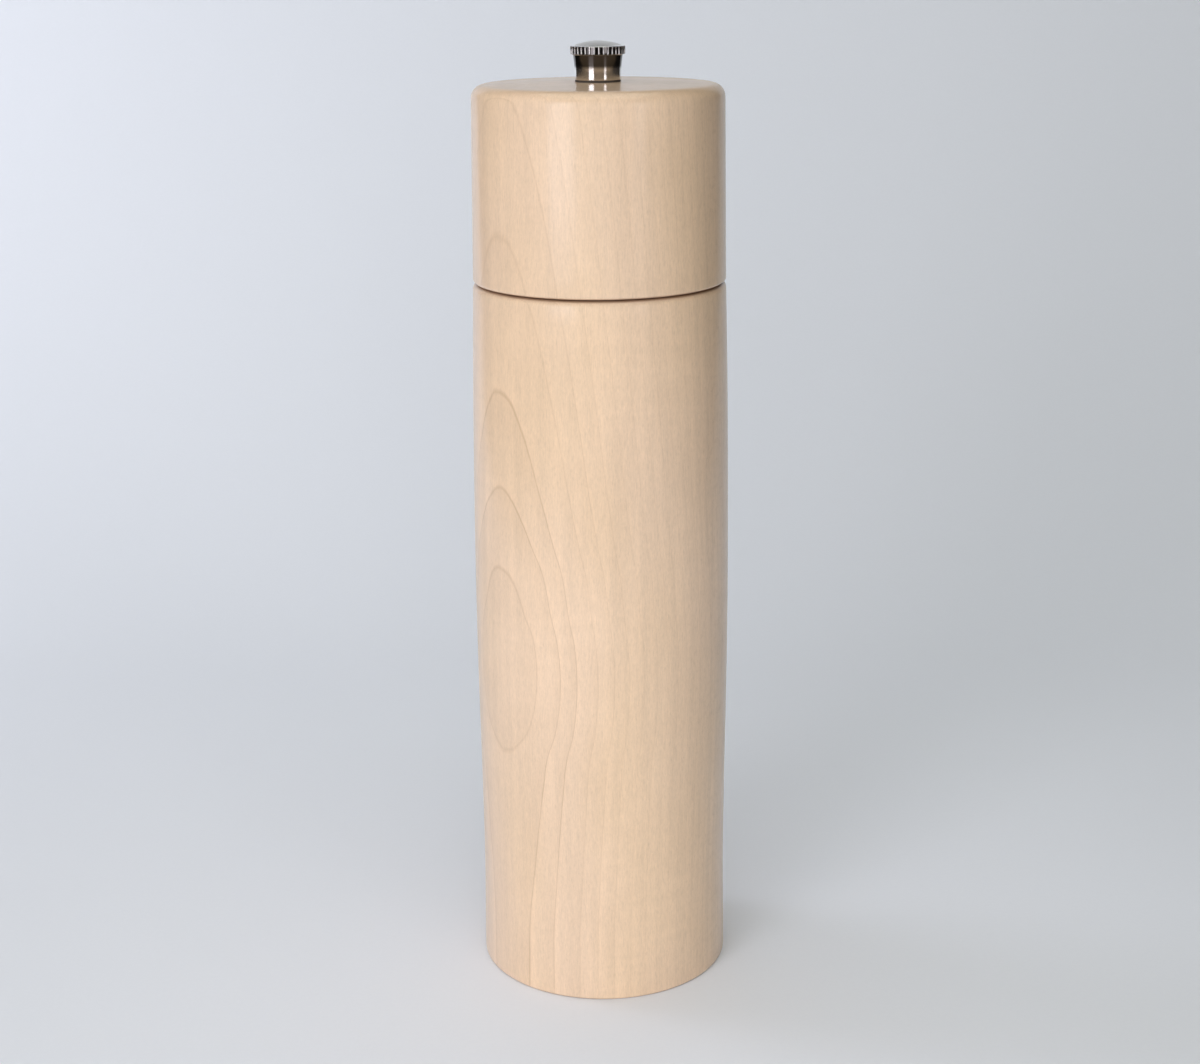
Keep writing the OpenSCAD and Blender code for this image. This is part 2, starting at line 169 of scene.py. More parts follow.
def make_piece(bm, name, crease=math.radians(32)):
    """Turns a bmesh into a piece. Its faces point outwards, and edges past the crease angle stay sharp."""
    bmesh.ops.remove_doubles(bm, verts=bm.verts, dist=MM / 1000)
    bmesh.ops.recalc_face_normals(bm, faces=bm.faces)
    for face in bm.faces:
        face.smooth = True
    for edge in bm.edges:
        edge.smooth = edge.calc_face_angle(0) < crease
    mesh = bpy.data.meshes.new(name)
    bm.to_mesh(mesh)
    bm.free()
    made = bpy.data.objects.new(name, mesh)
    bpy.context.scene.collection.objects.link(made)
    return made


def turned_body():
    """The wooden body: foot recess, stepped seat for the grinder, peppercorn bore and rounded rim."""
    recess_r = plate_high.x + 0.3 * MM
    seat_r = stator_high.x + 0.1 * MM
    side_steps = 36
    side = [BODY_H * i / side_steps for i in range(1, side_steps)]
    bm = bmesh.new()
    spin_outline(bm, [
        (recess_r, 0, 0.4 * MM),
        (FOOT_R, 0, 0.8 * MM),
        *[(body_radius(z), z) for z in side],
        (body_radius(BODY_H), BODY_H, 1.6 * MM),
        (CHAMBER_R, BODY_H, 0.5 * MM),
        (CHAMBER_R, stator_high.z),
        (seat_r, stator_high.z),
        (seat_r, stator_low.z),
        (recess_r, stator_low.z),
    ], steps=180)
    return make_piece(bm, "turned_body")


def turned_head():
    """The wooden head: tenon, bore for the square shaft, rounded top edge and slightly crowned top."""
    hole_r = SHAFT_W * math.sqrt(0.5) + 0.35 * MM
    edge_z = TOP_Z - CROWN_RISE
    side_steps = 12
    side = [HEAD_Z + (edge_z - HEAD_Z) * i / side_steps for i in range(1, side_steps)]
    crown_r = TOP_R - TOP_EDGE
    crown_steps = 8
    crown = [crown_r + (CROWN_FLAT_R - crown_r) * i / crown_steps for i in range(1, crown_steps + 1)]
    bm = bmesh.new()
    spin_outline(bm, [
        (hole_r, TENON_Z, 0.3 * MM),
        (TENON_R, TENON_Z, 0.8 * MM),
        (TENON_R, HEAD_Z),
        (SEAM_R, HEAD_Z, 0.9 * MM),
        *[(head_radius(z), z) for z in side],
        (head_radius(edge_z), edge_z, TOP_EDGE),
        *[(r, TOP_Z - CROWN_RISE * ((r - CROWN_FLAT_R) / (crown_r - CROWN_FLAT_R)) ** 2) for r in crown],
        (hole_r, TOP_Z, 0.3 * MM),
    ], steps=180)
    return make_piece(bm, "turned_head")


def chrome_nut():
    """The plated nut: a flared shank, a rim of raised knurls and a shallow dome over a blind bore."""
    bore_r = THREAD_R + 0.06 * MM
    socket_r = insert_high.x + 0.02 * MM
    bore_top = RIM_TOP - 1 * MM
    flare_power = 2.4
    flare_steps = 12
    flare = [i / flare_steps for i in range(1, flare_steps + 1)]
    band_low = RIM_Z + 0.2 * MM
    band_high = RIM_TOP - 0.1 * MM
    dome_r = ROOT_R - 0.45 * MM
    dome_h = nut_high.z - RIM_TOP
    dome_steps = 8
    dome = [dome_r * i / dome_steps for i in range(dome_steps - 1, -1, -1)]
    bm = bmesh.new()
    spin_outline(bm, [
        (0, bore_top),
        (bore_r, bore_top),
        (bore_r, insert_high.z),
        (socket_r, insert_high.z),
        (socket_r, nut_low.z, 0.15 * MM),
        (NUT_FOOT_R, nut_low.z, 0.2 * MM),
        *[(NUT_FOOT_R + (SHANK_R - NUT_FOOT_R) * t ** flare_power, nut_low.z + SHANK_H * t)
          for t in flare],
        (ROOT_R, band_low, 0.08 * MM),
        (ROOT_R, band_high, 0.12 * MM),
        (dome_r, RIM_TOP),
        *[(r, RIM_TOP + dome_h * (1 - (r / dome_r) ** 2)) for r in dome],
    ], steps=KNURLS * 4)
    cut_knurls(bm, band_low, band_high)
    return make_piece(bm, "chrome_nut", crease=math.radians(28))


def cut_knurls(bm, low, high):
    """Raises two faces in every four of the rim's upright band into a bevelled knurl."""
    bmesh.ops.recalc_face_normals(bm, faces=bm.faces)
    pitch = FULL_TURN / KNURLS
    raised = []
    for face in bm.faces:
        middle = face.calc_center_median()
        in_band = low < middle.z < high and middle.xy.length > ROOT_R * 0.995 and abs(face.normal.z) < 0.1
        if in_band and (math.atan2(middle.y, middle.x) / pitch) % 1 < 0.5:
            raised.append(face)
    bmesh.ops.inset_region(bm, faces=raised, use_boundary=True, use_even_offset=True,
                           thickness=0.1 * MM, depth=KNURL_DEPTH)
    tips = {e for f in raised for e in f.edges if e.calc_face_angle(0) > math.radians(20)}
    bmesh.ops.bevel(bm, geom=list(tips), offset=0.16 * MM, offset_type="OFFSET", affect="EDGES",
                    segments=4, profile=0.5, material=-1)


def wound_spring():
    """A compression spring of round wire whose end turns lie flat."""
    wire_r = 0.5 * MM
    coil_r = spring_high.x - wire_r
    end_turns = 0.75
    middle_turns = 5 - 2 * end_turns
    bm = bmesh.new()
    place = Matrix.Translation((coil_r, 0, spring_low.z + wire_r)) @ Matrix.Rotation(math.pi / 2, 4, "X")
    circle = bmesh.ops.create_circle(bm, cap_ends=False, segments=14, radius=wire_r, matrix=place)["verts"]
    wire = circle + list({e for v in circle for e in v.link_edges})
    rise = spring_high.z - spring_low.z - 2 * wire_r
    for turns, lift in ((end_turns, 0), (middle_turns, rise), (end_turns, 0)):
        wire = wind(bm, wire, turns, lift, steps_per_turn=40)
    close_ends(bm)
    return make_piece(bm, "wound_spring")


def threaded_shaft():
    """The square aluminium bar with a cut thread at its top and a grooved spigot at its foot."""
    seat_z = rotor_low.z + 3 * MM
    thread_z = shaft_high.z - THREAD_L
    spigot_r = 2 * MM
    groove_low = seat_z - 1.5 * MM
    groove_high = groove_low + 0.7 * MM
    groove_r = spigot_r - 0.5 * MM
    bm = bmesh.new()
    bar = bmesh.ops.create_cube(bm, size=1)["verts"]
    bmesh.ops.scale(bm, verts=bar, vec=(SHAFT_W, SHAFT_W, thread_z - seat_z))
    bmesh.ops.translate(bm, verts=bar, vec=(0, 0, (thread_z + seat_z) / 2))
    uprights = [e for e in bm.edges if abs(e.verts[0].co.z - e.verts[1].co.z) > SHAFT_W]
    bmesh.ops.bevel(bm, geom=uprights, offset=0.25 * MM, offset_type="OFFSET", affect="EDGES",
                    segments=3, profile=0.5, material=-1)
    shoulder = [e for e in bm.edges if all(v.co.z > thread_z - MM / 10 for v in e.verts)]
    bmesh.ops.bevel(bm, geom=shoulder, offset=0.4 * MM, offset_type="OFFSET", affect="EDGES",
                    segments=1, profile=0.5, material=-1)
    cut_thread(bm, thread_z, shaft_high.z)
    spin_outline(bm, [
        (0, shaft_low.z),
        (spigot_r, shaft_low.z, 0.25 * MM),
        (spigot_r, groove_low),
        (groove_r, groove_low),
        (groove_r, groove_high),
        (spigot_r, groove_high),
        (spigot_r, seat_z),
        (0, seat_z),
    ], steps=48)
    return make_piece(bm, "threaded_shaft", crease=math.radians(25))


def cut_thread(bm, low, high):
    """Winds one turn's outline into a thread, then cuts it off square at both ends."""
    root_r = THREAD_R - 0.6 * THREAD_PITCH
    old = set(bm.verts)
    start = low - 2 * THREAD_PITCH
    turn = [(root_r, 0), (THREAD_R, 0.35), (THREAD_R, 0.5), (root_r, 0.85), (root_r, 1)]
    points = [bm.verts.new((r, 0, start + share * THREAD_PITCH)) for r, share in turn]
    edges = [bm.edges.new(pair) for pair in zip(points, points[1:])]
    turns = math.ceil((high - low) / THREAD_PITCH) + 3
    wind(bm, points + edges, turns, turns * THREAD_PITCH, steps_per_turn=48)
    made = [v for v in bm.verts if v not in old]
    bmesh.ops.remove_doubles(bm, verts=made, dist=MM / 1000)
    for height, keeps_above in ((low, True), (high, False)):
        made = [v for v in bm.verts if v not in old]
        faces = list({f for v in made for f in v.link_faces})
        edges = list({e for v in made for e in v.link_edges})
        cut = bmesh.ops.bisect_plane(bm, geom=made + edges + faces, dist=MM / 10000,
                                     plane_co=(0, 0, height), plane_no=(0, 0, 1),
                                     clear_inner=keeps_above, clear_outer=not keeps_above)["geom_cut"]
        rim = [e for e in cut if isinstance(e, bmesh.types.BMEdge)]
        bmesh.ops.holes_fill(bm, edges=rim, sides=0)


# ---- Wiring materials ----

def add(tree, kind, inputs=None, **settings):
    """Adds a shader node. Its inputs are numbers, colours or other nodes' sockets."""
    made = tree.nodes.new("ShaderNode" + kind)
    for name, value in settings.items():
        setattr(made, name, value)
    for name, value in (inputs or {}).items():
        if isinstance(value, bpy.types.NodeSocket):
            tree.links.new(value, made.inputs[name])
        else:
            made.inputs[name].default_value = value
    return made


def calc(tree, operation, *values, clamp=False):
    """One step of arithmetic on numbers and sockets."""
    return add(tree, "Math", dict(enumerate(values)), operation=operation, use_clamp=clamp).outputs[0]


def swing(tree, value, amount, middle=0):
    """Turns a value from 0 to 1 into one that goes half the amount to either side of the middle."""
    return calc(tree, "MULTIPLY_ADD", value, amount, middle - amount / 2)


def ramp(tree, value, low, high, start=0, end=1):
    """Start below low, end above high, and a smooth step between them."""
    return add(tree, "MapRange", {"Value": value, "From Min": low, "From Max": high, "To Min": start,
                                  "To Max": end}, interpolation_type="SMOOTHSTEP").outputs[0]


def stretched(tree, vector, scale):
    """A vector scaled along each axis, so that noise on it has its own size each way."""
    return add(tree, "VectorMath", {0: vector, 1: scale}, operation="MULTIPLY").outputs[0]


def noise(tree, vector, scale, detail=2, roughness=0.5):
    """Soft noise from 0 to 1. Scale is in repeats for each unit of the vector, along each axis."""
    return add(tree, "TexNoise", {"Vector": stretched(tree, vector, scale), "Scale": 1, "Detail": detail,
                                  "Roughness": roughness}).outputs["Fac"]


def tint(tree, share, first, second):
    """The first colour, with a share of the second mixed in."""
    return add(tree, "Mix", {0: share, 6: first, 7: second}, data_type="RGBA").outputs[2]


def shaded(tree, colour, shade):
    """A colour made lighter or darker, where a shade of 1 leaves it alone."""
    grey = add(tree, "CombineColor", {0: shade, 1: shade, 2: shade}).outputs[0]
    return add(tree, "Mix", {0: 1.0, 6: colour, 7: grey}, data_type="RGBA",
               blend_type="MULTIPLY").outputs[2]


def axis_distance(tree, place):
    """How far a place is from the mill's axis, in the place's own unit."""
    along = add(tree, "SeparateXYZ", {0: place}).outputs
    flat = add(tree, "CombineXYZ", {"X": along["X"], "Y": along["Y"]}).outputs[0]
    return add(tree, "VectorMath", {0: flat}, operation="LENGTH").outputs["Value"]


def curve(tree, value, points, reach, most):
    """A smooth curve through (in, out) points, where in goes up to reach and out goes up to most."""
    made = add(tree, "FloatCurve", {"Value": calc(tree, "DIVIDE", value, reach)})
    line = made.mapping.curves[0]
    places = [(given / reach, result / most) for given, result in points]
    line.points[0].location = places[0]
    line.points[-1].location = places[-1]
    for place in places[1:-1]:
        line.points.new(*place)
    made.mapping.update()
    return calc(tree, "MULTIPLY", made.outputs[0], most)


def new_group(name, takes, gives):
    """Starts a node group with named sockets. Takes maps a name to a vector, a colour or a number,
    and gives maps a name to a kind of socket."""
    group = bpy.data.node_groups.new(name, "ShaderNodeTree")
    for label, start in takes.items():
        length = len(start) if isinstance(start, tuple) else 1
        kind = {1: "Float", 3: "Vector", 4: "Color"}[length]
        socket = group.interface.new_socket(name=label, in_out="INPUT", socket_type="NodeSocket" + kind)
        socket.default_value = start
    for label, kind in gives.items():
        group.interface.new_socket(name=label, in_out="OUTPUT", socket_type="NodeSocket" + kind)
    given = group.nodes.new("NodeGroupInput").outputs
    out = group.nodes.new("NodeGroupOutput").inputs
    return group, given, out


def place_group(tree, group, inputs):
    """Places a shared effect in a material and returns what it puts out."""
    return add(tree, "Group", inputs, node_tree=group).outputs


# ---- Effects that several materials share ----

# The wood's figure, in mm. The pith of the blank lies outside the mill, behind its right.
PITH_DISTANCE = 80
PITH_ANGLE = math.radians(40)
BLANK_REACH = PITH_DISTANCE + BELLY_R / MM

# How far the growth rings lean out along the blank: (height, lean)
RING_LEAN = [(0, 2.8), (15, 2.6), (30, 2.2), (48, 1.75), (60, 1.45), (68, 1.2), (77, 0.45), (85, 0.08),
             (92, 0), (100, 0.2), (108, 0.8), (119, 1.43), (127, 2.25), (139, 3.22), (163, 4.62),
             (204, 6.72), (240, 8.75)]
LEAN_HEIGHT = 250
LEAN_MOST = 12

# Which ring a depth under the blank's flat-sawn face is in: (depth, ring)
RING_DEPTH = [(0, 0.4), (1.48, 1), (3.55, 2), (5.4, 3), (8.25, 4), (13.4, 6), (19.3, 8), (45, 18), (80, 31)]
DEPTH_MOST = 80
RING_MOST = 32


def blank_place(tree, place):
    """Where a place is in the blank: its distance from the pith, its way round it and its height."""
    pith = (PITH_DISTANCE * math.cos(PITH_ANGLE), PITH_DISTANCE * math.sin(PITH_ANGLE), 0)
    from_pith = add(tree, "VectorMath", {0: place, 1: pith}, operation="SUBTRACT").outputs[0]
    split = add(tree, "SeparateXYZ", {0: from_pith}).outputs
    turn = calc(tree, "ARCTAN2", calc(tree, "MULTIPLY", split["Y"], -1),
                calc(tree, "MULTIPLY", split["X"], -1))
    return axis_distance(tree, from_pith), calc(tree, "MULTIPLY", turn, BLANK_REACH), split["Z"]


def growth_ring(tree, place, from_pith, height):
    """How deep a place is under the blank's flat-sawn face, and which growth ring it is in."""
    slow_waver = swing(tree, noise(tree, place, (0.05, 0.05, 0.013)), 0.3)
    quick_waver = swing(tree, noise(tree, place, (0.2, 0.2, 0.035)), 0.16)
    lean = curve(tree, height, RING_LEAN, LEAN_HEIGHT, LEAN_MOST)
    even_depth = calc(tree, "SUBTRACT", calc(tree, "ADD", lean, BLANK_REACH), from_pith)
    depth = calc(tree, "ADD", even_depth, calc(tree, "ADD", slow_waver, quick_waver))
    return depth, curve(tree, depth, RING_DEPTH, DEPTH_MOST, RING_MOST)


def maple_figure():
    """Maple's figure: growth rings round a pith outside the mill, ray flecks, fibres and end grain."""
    group, given, out = new_group("Maple figure", {
        "Position": (0.0, 0.0, 0.0), "Normal": (0.0, 0.0, 1.0), "Pale Wood": (0.8, 0.6, 0.45, 1.0),
        "Warm Wood": (0.8, 0.6, 0.4, 1.0), "Ring Line": (0.5, 0.3, 0.2, 1.0), "Fleck": (0.5, 0.4, 0.3, 1.0),
        "Line Strength": 0.3, "Fleck Strength": 0.2, "Gloss": 0.4,
    }, {"Color": "Color", "Roughness": "Float", "Height": "Float"})
    place = stretched(group, given["Position"], TO_MM)
    from_pith, way_round, height = blank_place(group, place)
    grain = add(group, "CombineXYZ", {"X": from_pith, "Y": way_round, "Z": height}).outputs[0]
    depth, ring = growth_ring(group, place, from_pith, height)

    # Each year's line has its own strength, comes and goes along the blank, and is faint deep inside
    year = add(group, "TexWhiteNoise", {"W": calc(group, "ROUND", ring)}, noise_dimensions="1D")
    strength = calc(group, "MULTIPLY", ramp(group, year.outputs["Value"], 0, 1, 0.55, 1),
                    ramp(group, noise(group, grain, (0.02, 0.1, 0.04)), 0.3, 0.7, 0.6, 1))
    strength = calc(group, "MULTIPLY", strength, ramp(group, depth, 4, 15, 1, 0.3))
    line_width = ramp(group, depth, 0, 45, 0.035, 0.13)
    line = ramp(group, calc(group, "PINGPONG", ring, 0.5), 0, line_width, 1, 0)
    line = calc(group, "MULTIPLY", line, strength)
    part = calc(group, "FRACT", ring)
    late_wood = calc(group, "MULTIPLY", ramp(group, part, 0.35, 1.0), strength)
    early_wood = calc(group, "MULTIPLY", ramp(group, part, 0.02, 0.4, 1, 0), strength)

    # Short ray flecks, upright fibres and streaks, and patches of ripple
    flecks = ramp(group, noise(group, grain, (0.35, 3.8, 0.6), detail=4, roughness=0.65), 0.47, 0.78)
    fibres = noise(group, place, (3.2, 3.2, 0.3), detail=3, roughness=0.65)
    mottle = noise(group, place, (2.2, 2.2, 1.0), detail=3, roughness=0.7)
    streaks = noise(group, place, (0.35, 0.35, 0.012), detail=3)
    ripple = calc(group, "MULTIPLY", noise(group, place, (0.06, 0.06, 0.38), detail=1),
                  ramp(group, noise(group, place, (0.03, 0.03, 0.02)), 0.42, 0.62))
    patches = noise(group, place, (0.03, 0.03, 0.012), detail=1)
    facing_up = add(group, "SeparateXYZ", {0: given["Normal"]}).outputs["Z"]
    end_grain = ramp(group, calc(group, "ABSOLUTE", facing_up), 0.3, 1.0)

    shade = calc(group, "ADD", swing(group, streaks, 0.2, 1), swing(group, fibres, 0.26))
    shade = calc(group, "ADD", shade, swing(group, mottle, 0.22))
    shade = calc(group, "ADD", shade, calc(group, "MULTIPLY_ADD", ripple, 0.08, -0.02))
    shade = calc(group, "MULTIPLY_ADD", early_wood, 0.03, shade)
    colour = tint(group, ramp(group, patches, 0.35, 0.65), given["Pale Wood"], given["Warm Wood"])
    colour = shaded(group, colour, shade)
    for darker, share in ((end_grain, 0.22), (late_wood, 0.10), (line, given["Line Strength"])):
        colour = tint(group, calc(group, "MULTIPLY", darker, share), colour, given["Ring Line"])
    colour = tint(group, calc(group, "MULTIPLY", flecks, given["Fleck Strength"]), colour, given["Fleck"])
    group.links.new(colour, out["Color"])

    rough = calc(group, "ADD", given["Gloss"], swing(group, fibres, 0.14))
    rough = calc(group, "MULTIPLY_ADD", flecks, 0.06, rough)
    group.links.new(calc(group, "MULTIPLY_ADD", end_grain, 0.08, rough, clamp=True), out["Roughness"])

    relief = calc(group, "SUBTRACT", calc(group, "MULTIPLY", fibres, 0.5),
                  calc(group, "MULTIPLY", flecks, 0.35))
    group.links.new(calc(group, "SUBTRACT", relief, calc(group, "MULTIPLY", line, 0.3)), out["Height"])
    return group


def handling():
    """Faint smudges and dust from hands and shelves: where they lie, from 0 to 1."""
    group, given, out = new_group("Handling", {"Position": (0.0, 0.0, 0.0), "Smudge Size": 12.0},
                                  {"Smudge": "Float", "Dust": "Float"})
    place = stretched(group, given["Position"], TO_MM)
    size = calc(group, "DIVIDE", 1, given["Smudge Size"])
    near = add(group, "VectorMath", {0: place, "Scale": size}, operation="SCALE").outputs[0]
    smudge = ramp(group, noise(group, near, (1, 1, 1), detail=4, roughness=0.55), 0.45, 0.7)
    specks = add(group, "TexVoronoi", {"Vector": place, "Scale": 0.45, "Randomness": 1}).outputs["Distance"]
    dust = calc(group, "MULTIPLY", ramp(group, specks, 0.03, 0.07, 1, 0),
                ramp(group, noise(group, place, (0.08, 0.08, 0.08)), 0.5, 0.65))
    group.links.new(smudge, out["Smudge"])
    group.links.new(dust, out["Dust"])
    return group


def metal_finish():
    """Machined metal: tool marks along a lay, stains, fine scratches and worn edges."""
    group, given, out = new_group("Metal finish", {
        "Position": (0.0, 0.0, 0.0), "Clean": (0.6, 0.6, 0.6, 1.0), "Stain": (0.4, 0.4, 0.4, 1.0),
        "Lay": (1.0, 1.0, 1.0), "Turned": 0.0, "Stain Share": 0.5, "Dullness": 0.3, "Mark Depth": 0.1,
        "Edge Shine": 0.3,
    }, {"Color": "Color", "Roughness": "Float", "Height": "Float"})
    place = stretched(group, given["Position"], TO_MM)
    height = add(group, "SeparateXYZ", {0: place}).outputs["Z"]
    round_place = add(group, "CombineXYZ", {"X": axis_distance(group, place), "Z": height}).outputs[0]
    tool_place = add(group, "Mix", {0: given["Turned"], 4: place, 5: round_place},
                     data_type="VECTOR").outputs[1]
    marks = noise(group, tool_place, given["Lay"], detail=4, roughness=0.65)
    stain = ramp(group, noise(group, place, (0.3, 0.3, 0.3), detail=4, roughness=0.6), 0.4, 0.7)
    cracks = add(group, "TexVoronoi", {"Vector": stretched(group, place, (0.25, 3.1, 1.3)), "Scale": 1},
                 feature="DISTANCE_TO_EDGE").outputs["Distance"]
    scratches = ramp(group, cracks, 0.0, 0.02, 1, 0)
    rounded = add(group, "Bevel", {"Radius": 0.15 * MM}, samples=4).outputs[0]
    face = add(group, "NewGeometry").outputs["Normal"]
    flatness = add(group, "VectorMath", {0: rounded, 1: face}, operation="DOT_PRODUCT").outputs["Value"]
    edge = calc(group, "MULTIPLY", ramp(group, flatness, 0.90, 0.995, 1, 0), given["Edge Shine"])

    stained = calc(group, "MULTIPLY", stain, given["Stain Share"])
    colour = tint(group, stained, given["Clean"], given["Stain"])
    colour = shaded(group, colour, swing(group, marks, 0.16, 1))
    group.links.new(tint(group, edge, colour, (0.85, 0.85, 0.85, 1.0)), out["Color"])

    uneven = calc(group, "MULTIPLY", calc(group, "SUBTRACT", marks, 0.5), given["Mark Depth"])
    rough = calc(group, "ADD", given["Dullness"], uneven)
    rough = calc(group, "MULTIPLY_ADD", stain, calc(group, "MULTIPLY", given["Dullness"], 0.35), rough)
    rough = calc(group, "MULTIPLY_ADD", scratches, 0.06, rough)
    group.links.new(calc(group, "MAXIMUM", rough, 0.03, clamp=True), out["Roughness"])
    group.links.new(calc(group, "SUBTRACT", marks, calc(group, "MULTIPLY", scratches, 0.3)), out["Height"])
    return group


MAPLE_FIGURE = maple_figure()
HANDLING = handling()
METAL_FINISH = metal_finish()


# ---- Materials ----

def start_material(name, **constants):
    """A material with one Principled shader whose unchanging values are set on its own sockets."""
    material = bpy.data.materials.new(name)
    material.use_nodes = True
    tree = material.node_tree
    shader = next(n for n in tree.nodes if n.type == "BSDF_PRINCIPLED")
    for socket, value in constants.items():
        shader.inputs[socket.replace("_", " ")].default_value = value
    return material, tree, shader, add(tree, "TexCoord").outputs


def bump(tree, shader, height, distance, strength):
    """Raises the surface by a height from 0 to 1 over the given distance, in the shading only."""
    made = add(tree, "Bump", {"Height": height, "Distance": distance, "Strength": strength})
    tree.links.new(made.outputs[0], shader.inputs["Normal"])


def lacquered_maple(name, pale, warm):
    """Clear satin lacquer over turned maple, with painted shade darkening the wood at the seam's edges."""
    material, tree, shader, where = start_material(name, IOR=1.5, Specular_IOR_Level=0.3, Coat_IOR=1.5,
                                                   Coat_Roughness=0.17)
    figure = place_group(tree, MAPLE_FIGURE, {
        "Position": where["Object"], "Normal": where["Normal"], "Pale Wood": pale, "Warm Wood": warm,
        "Ring Line": (0.46, 0.28, 0.15, 1), "Fleck": (0.42, 0.27, 0.16, 1),
        "Line Strength": 0.46, "Fleck Strength": 0.2, "Gloss": 0.46})
    hands = place_group(tree, HANDLING, {"Position": where["Object"], "Smudge Size": 16})
    height = add(tree, "SeparateXYZ", {0: where["Object"]}).outputs["Z"]
    # Painted shade: within 0.7 mm of the seam, near the outside, the wood is tinted deep brown (0.24, 0.10,
    # 0.05) where the seam's crease falls in shade.
    from_seam = calc(tree, "ABSOLUTE", calc(tree, "SUBTRACT", height, BODY_H + SEAM_GAP / 2))
    seam_painted_shade = calc(tree, "MULTIPLY", ramp(tree, from_seam, 0.2 * MM, 0.7 * MM, 0.6, 0),
                  ramp(tree, axis_distance(tree, where["Object"]), SEAM_R - 4 * MM, SEAM_R - 2 * MM))
    tree.links.new(tint(tree, seam_painted_shade, figure["Color"], (0.24, 0.10, 0.05, 1)), shader.inputs["Base Color"])
    tree.links.new(figure["Roughness"], shader.inputs["Roughness"])
    coat = calc(tree, "MULTIPLY_ADD", hands["Smudge"], -0.12, 0.75)
    tree.links.new(calc(tree, "MULTIPLY_ADD", hands["Dust"], -0.3, coat, clamp=True),
                   shader.inputs["Coat Weight"])
    bump(tree, shader, figure["Height"], 0.03 * MM, 0.5)
    return material


def metal(name, clean, stain, lay, turned=0.0, stain_share=0.4, dullness=0.3, mark_depth=0.12,
          edge_shine=0.3, relief=0.01 * MM):
    """Bare or plated metal with its own tool marks."""
    material, tree, shader, where = start_material(name, Metallic=1.0)
    finish = place_group(tree, METAL_FINISH, {
        "Position": where["Object"], "Clean": clean, "Stain": stain, "Lay": lay, "Turned": turned,
        "Stain Share": stain_share, "Dullness": dullness, "Mark Depth": mark_depth,
        "Edge Shine": edge_shine})
    hands = place_group(tree, HANDLING, {"Position": where["Object"], "Smudge Size": 5})
    tree.links.new(finish["Color"], shader.inputs["Base Color"])
    tree.links.new(calc(tree, "MULTIPLY_ADD", hands["Smudge"], 0.05, finish["Roughness"]),
                   shader.inputs["Roughness"])
    bump(tree, shader, finish["Height"], relief, 0.4)
    return material


def polished_chrome():
    """Polished chrome plate with a lathe's faint rings. It is satin on the dome, and painted shade darkens
    the shank's upper half and the grooves between the knurls."""
    material, tree, shader, where = start_material("polished_chrome", Metallic=1.0)
    finish = place_group(tree, METAL_FINISH, {
        "Position": where["Object"], "Clean": (0.84, 0.82, 0.79, 1), "Stain": (0.7, 0.68, 0.65, 1),
        "Lay": (9, 1, 9), "Turned": 1.0, "Stain Share": 0.25, "Dullness": 0.05, "Mark Depth": 0.03,
        "Edge Shine": 0.2})
    hands = place_group(tree, HANDLING, {"Position": where["Object"], "Smudge Size": 4})
    height = add(tree, "SeparateXYZ", {0: where["Object"]}).outputs["Z"]
    from_axis = axis_distance(tree, where["Object"])
    dome = ramp(tree, height, RIM_TOP - 0.1 * MM, RIM_TOP + 0.2 * MM, 0, 0.26)
    # Painted shade: the shank's upper half under the rim and the grooves between the knurls are tinted near
    # black (0.035, 0.03, 0.028).
    shank = calc(tree, "MULTIPLY", ramp(tree, height, RIM_Z - 3.6 * MM, RIM_Z - 2.4 * MM),
                 ramp(tree, height, RIM_Z, RIM_Z + 0.2 * MM, 0.92, 0))
    rim = calc(tree, "MULTIPLY", ramp(tree, height, RIM_Z, RIM_Z + 0.3 * MM),
               ramp(tree, height, RIM_TOP - 0.3 * MM, RIM_TOP, 1, 0))
    grooves = calc(tree, "MULTIPLY", rim,
                   ramp(tree, from_axis, ROOT_R + 0.1 * MM, ROOT_R + 0.24 * MM, 0.9, 0))
    painted_shade = calc(tree, "MAXIMUM", shank, grooves)
    tree.links.new(tint(tree, painted_shade, finish["Color"], (0.035, 0.03, 0.028, 1)), shader.inputs["Base Color"])
    rough = calc(tree, "ADD", finish["Roughness"], dome)
    tree.links.new(calc(tree, "MULTIPLY_ADD", hands["Smudge"], 0.04, rough), shader.inputs["Roughness"])
    bump(tree, shader, finish["Height"], 0.003 * MM, 0.4)
    return material


def moulded_nylon():
    """Milky nylon, a little cloudy, with dark dust from the pepper."""
    material, tree, shader, where = start_material(
        "moulded_nylon", IOR=1.53, Subsurface_Weight=0.15, Subsurface_Scale=1 * MM)
    place = stretched(tree, where["Object"], TO_MM)
    cloud = noise(tree, place, (0.4, 0.4, 0.4), detail=3)
    grain = noise(tree, place, (6, 6, 6), detail=2)
    hands = place_group(tree, HANDLING, {"Position": where["Object"], "Smudge Size": 3})
    colour = tint(tree, ramp(tree, cloud, 0.3, 0.7), (0.76, 0.74, 0.66, 1), (0.70, 0.67, 0.57, 1))
    tree.links.new(tint(tree, calc(tree, "MULTIPLY", hands["Dust"], 0.5), colour, (0.25, 0.2, 0.15, 1)),
                   shader.inputs["Base Color"])
    tree.links.new(calc(tree, "MULTIPLY_ADD", grain, 0.2, 0.35), shader.inputs["Roughness"])
    bump(tree, shader, grain, 0.01 * MM, 0.5)
    return material


def pressed_fibre():
    """Dark pressed fibre with matted strands."""
    material, tree, shader, where = start_material("pressed_fibre", IOR=1.45)
    place = stretched(tree, where["Object"], TO_MM)
    strands = noise(tree, place, (2, 9, 5), detail=4, roughness=0.7)
    tree.links.new(tint(tree, strands, (0.03, 0.024, 0.02, 1), (0.11, 0.09, 0.075, 1)),
                   shader.inputs["Base Color"])
    tree.links.new(calc(tree, "MULTIPLY_ADD", strands, 0.3, 0.6), shader.inputs["Roughness"])
    bump(tree, shader, strands, 0.03 * MM, 0.7)
    return material


